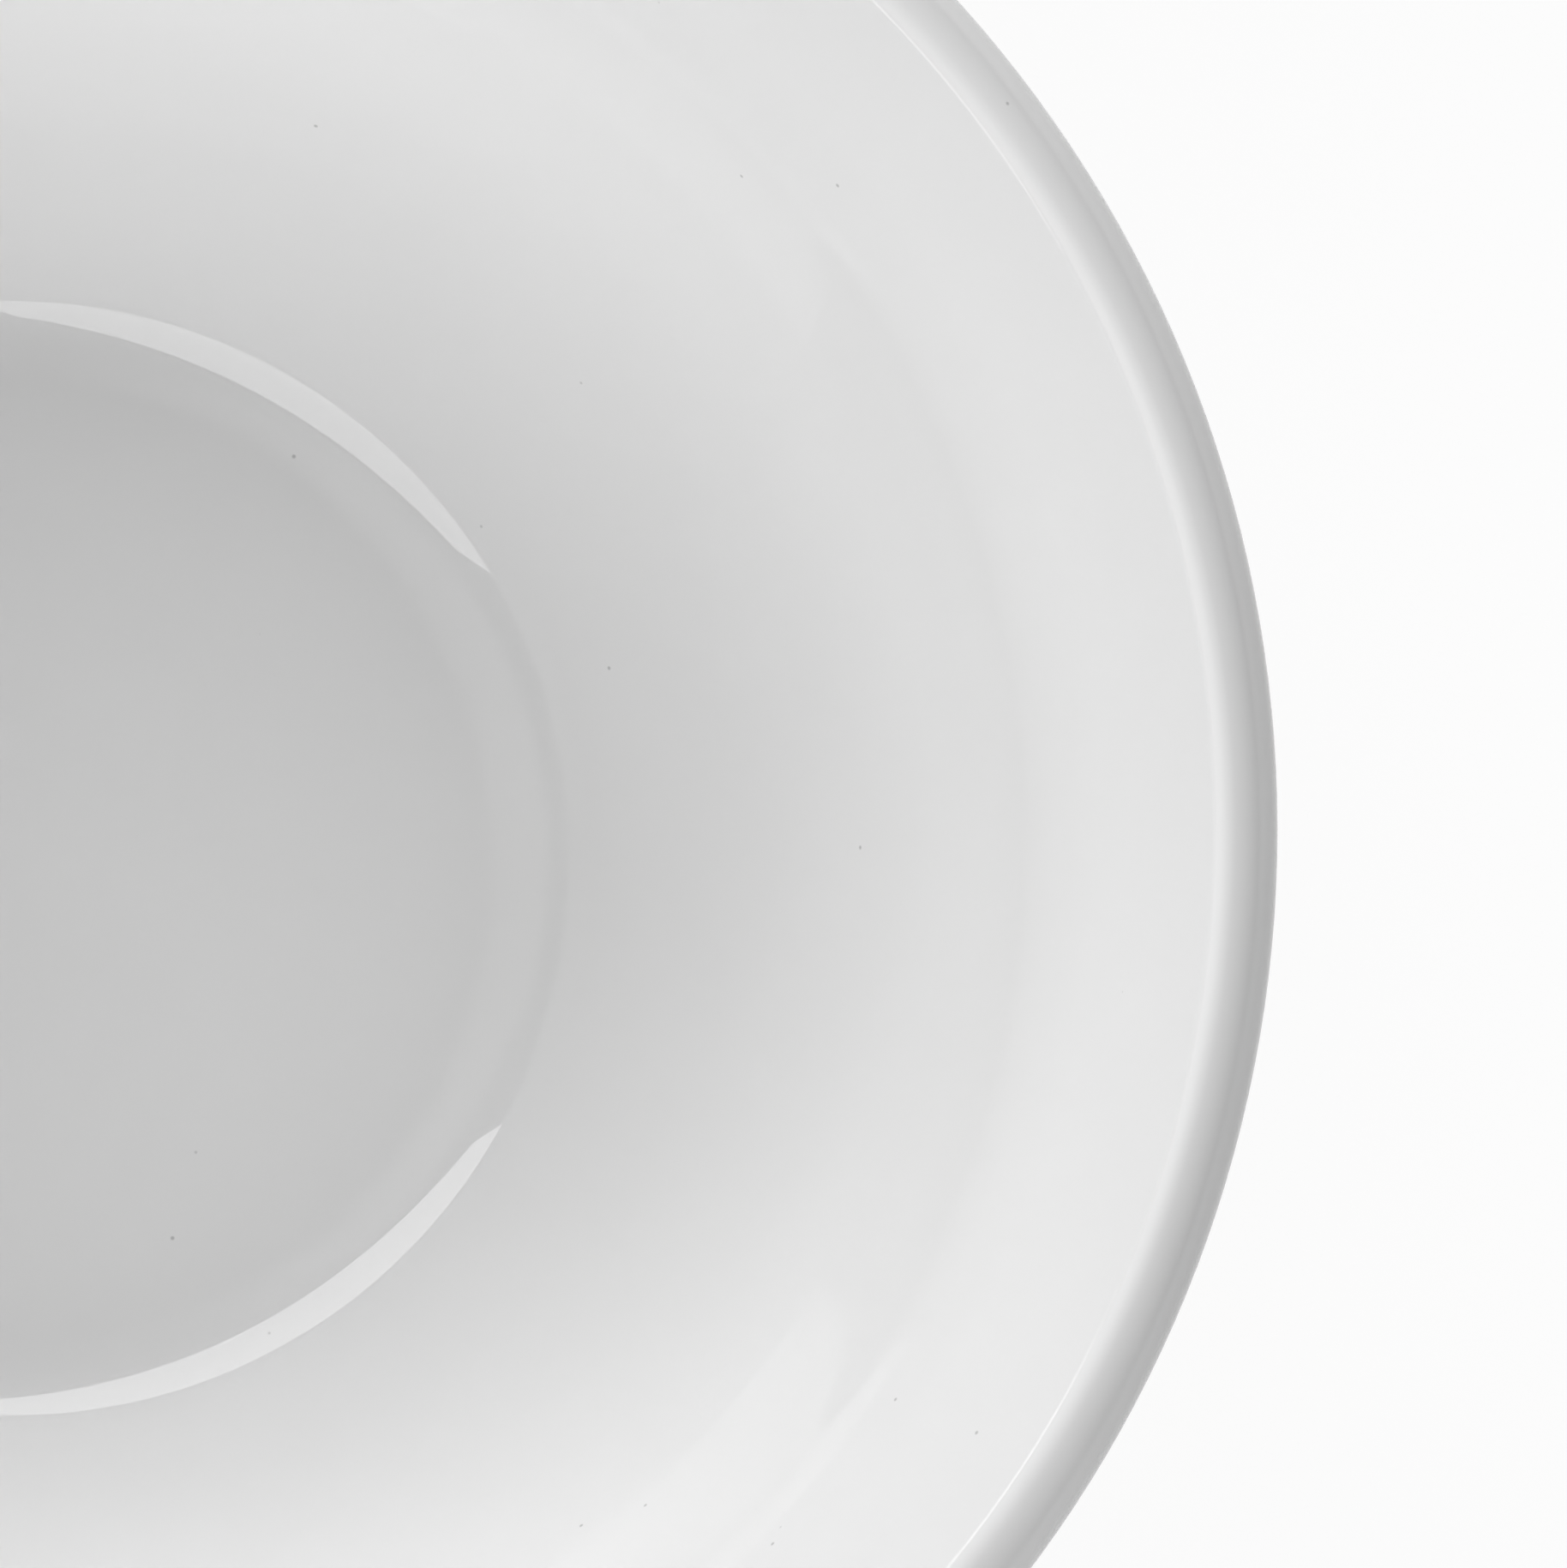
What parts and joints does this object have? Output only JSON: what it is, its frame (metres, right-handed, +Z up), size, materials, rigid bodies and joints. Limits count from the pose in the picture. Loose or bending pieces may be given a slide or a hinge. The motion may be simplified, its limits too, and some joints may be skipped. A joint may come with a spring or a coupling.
{
  "type": "shaving bowl",
  "caption": "Round white glazed porcelain shaving bowl with a flat bottom, a bowed wall, a flared lip and a turned foot that holds a soft non-slip ring.",
  "frame": {"origin": "on the bowl's axis, in the plane of the shelf that the ring under the foot stands on", "axes": "+Z up along the bowl's axis, out of its mouth; X and Y lie in the shelf and can be turned freely, because every piece is round"},
  "size_m": [0.12, 0.12, 0.056],
  "materials": {
    "white_glaze": "gloss",
    "clear_silicone": "satin"
  },
  "bodies": {
    "root": {"bowl": "white_glaze", "grip_ring": "clear_silicone"}
  },
  "joints": []
}
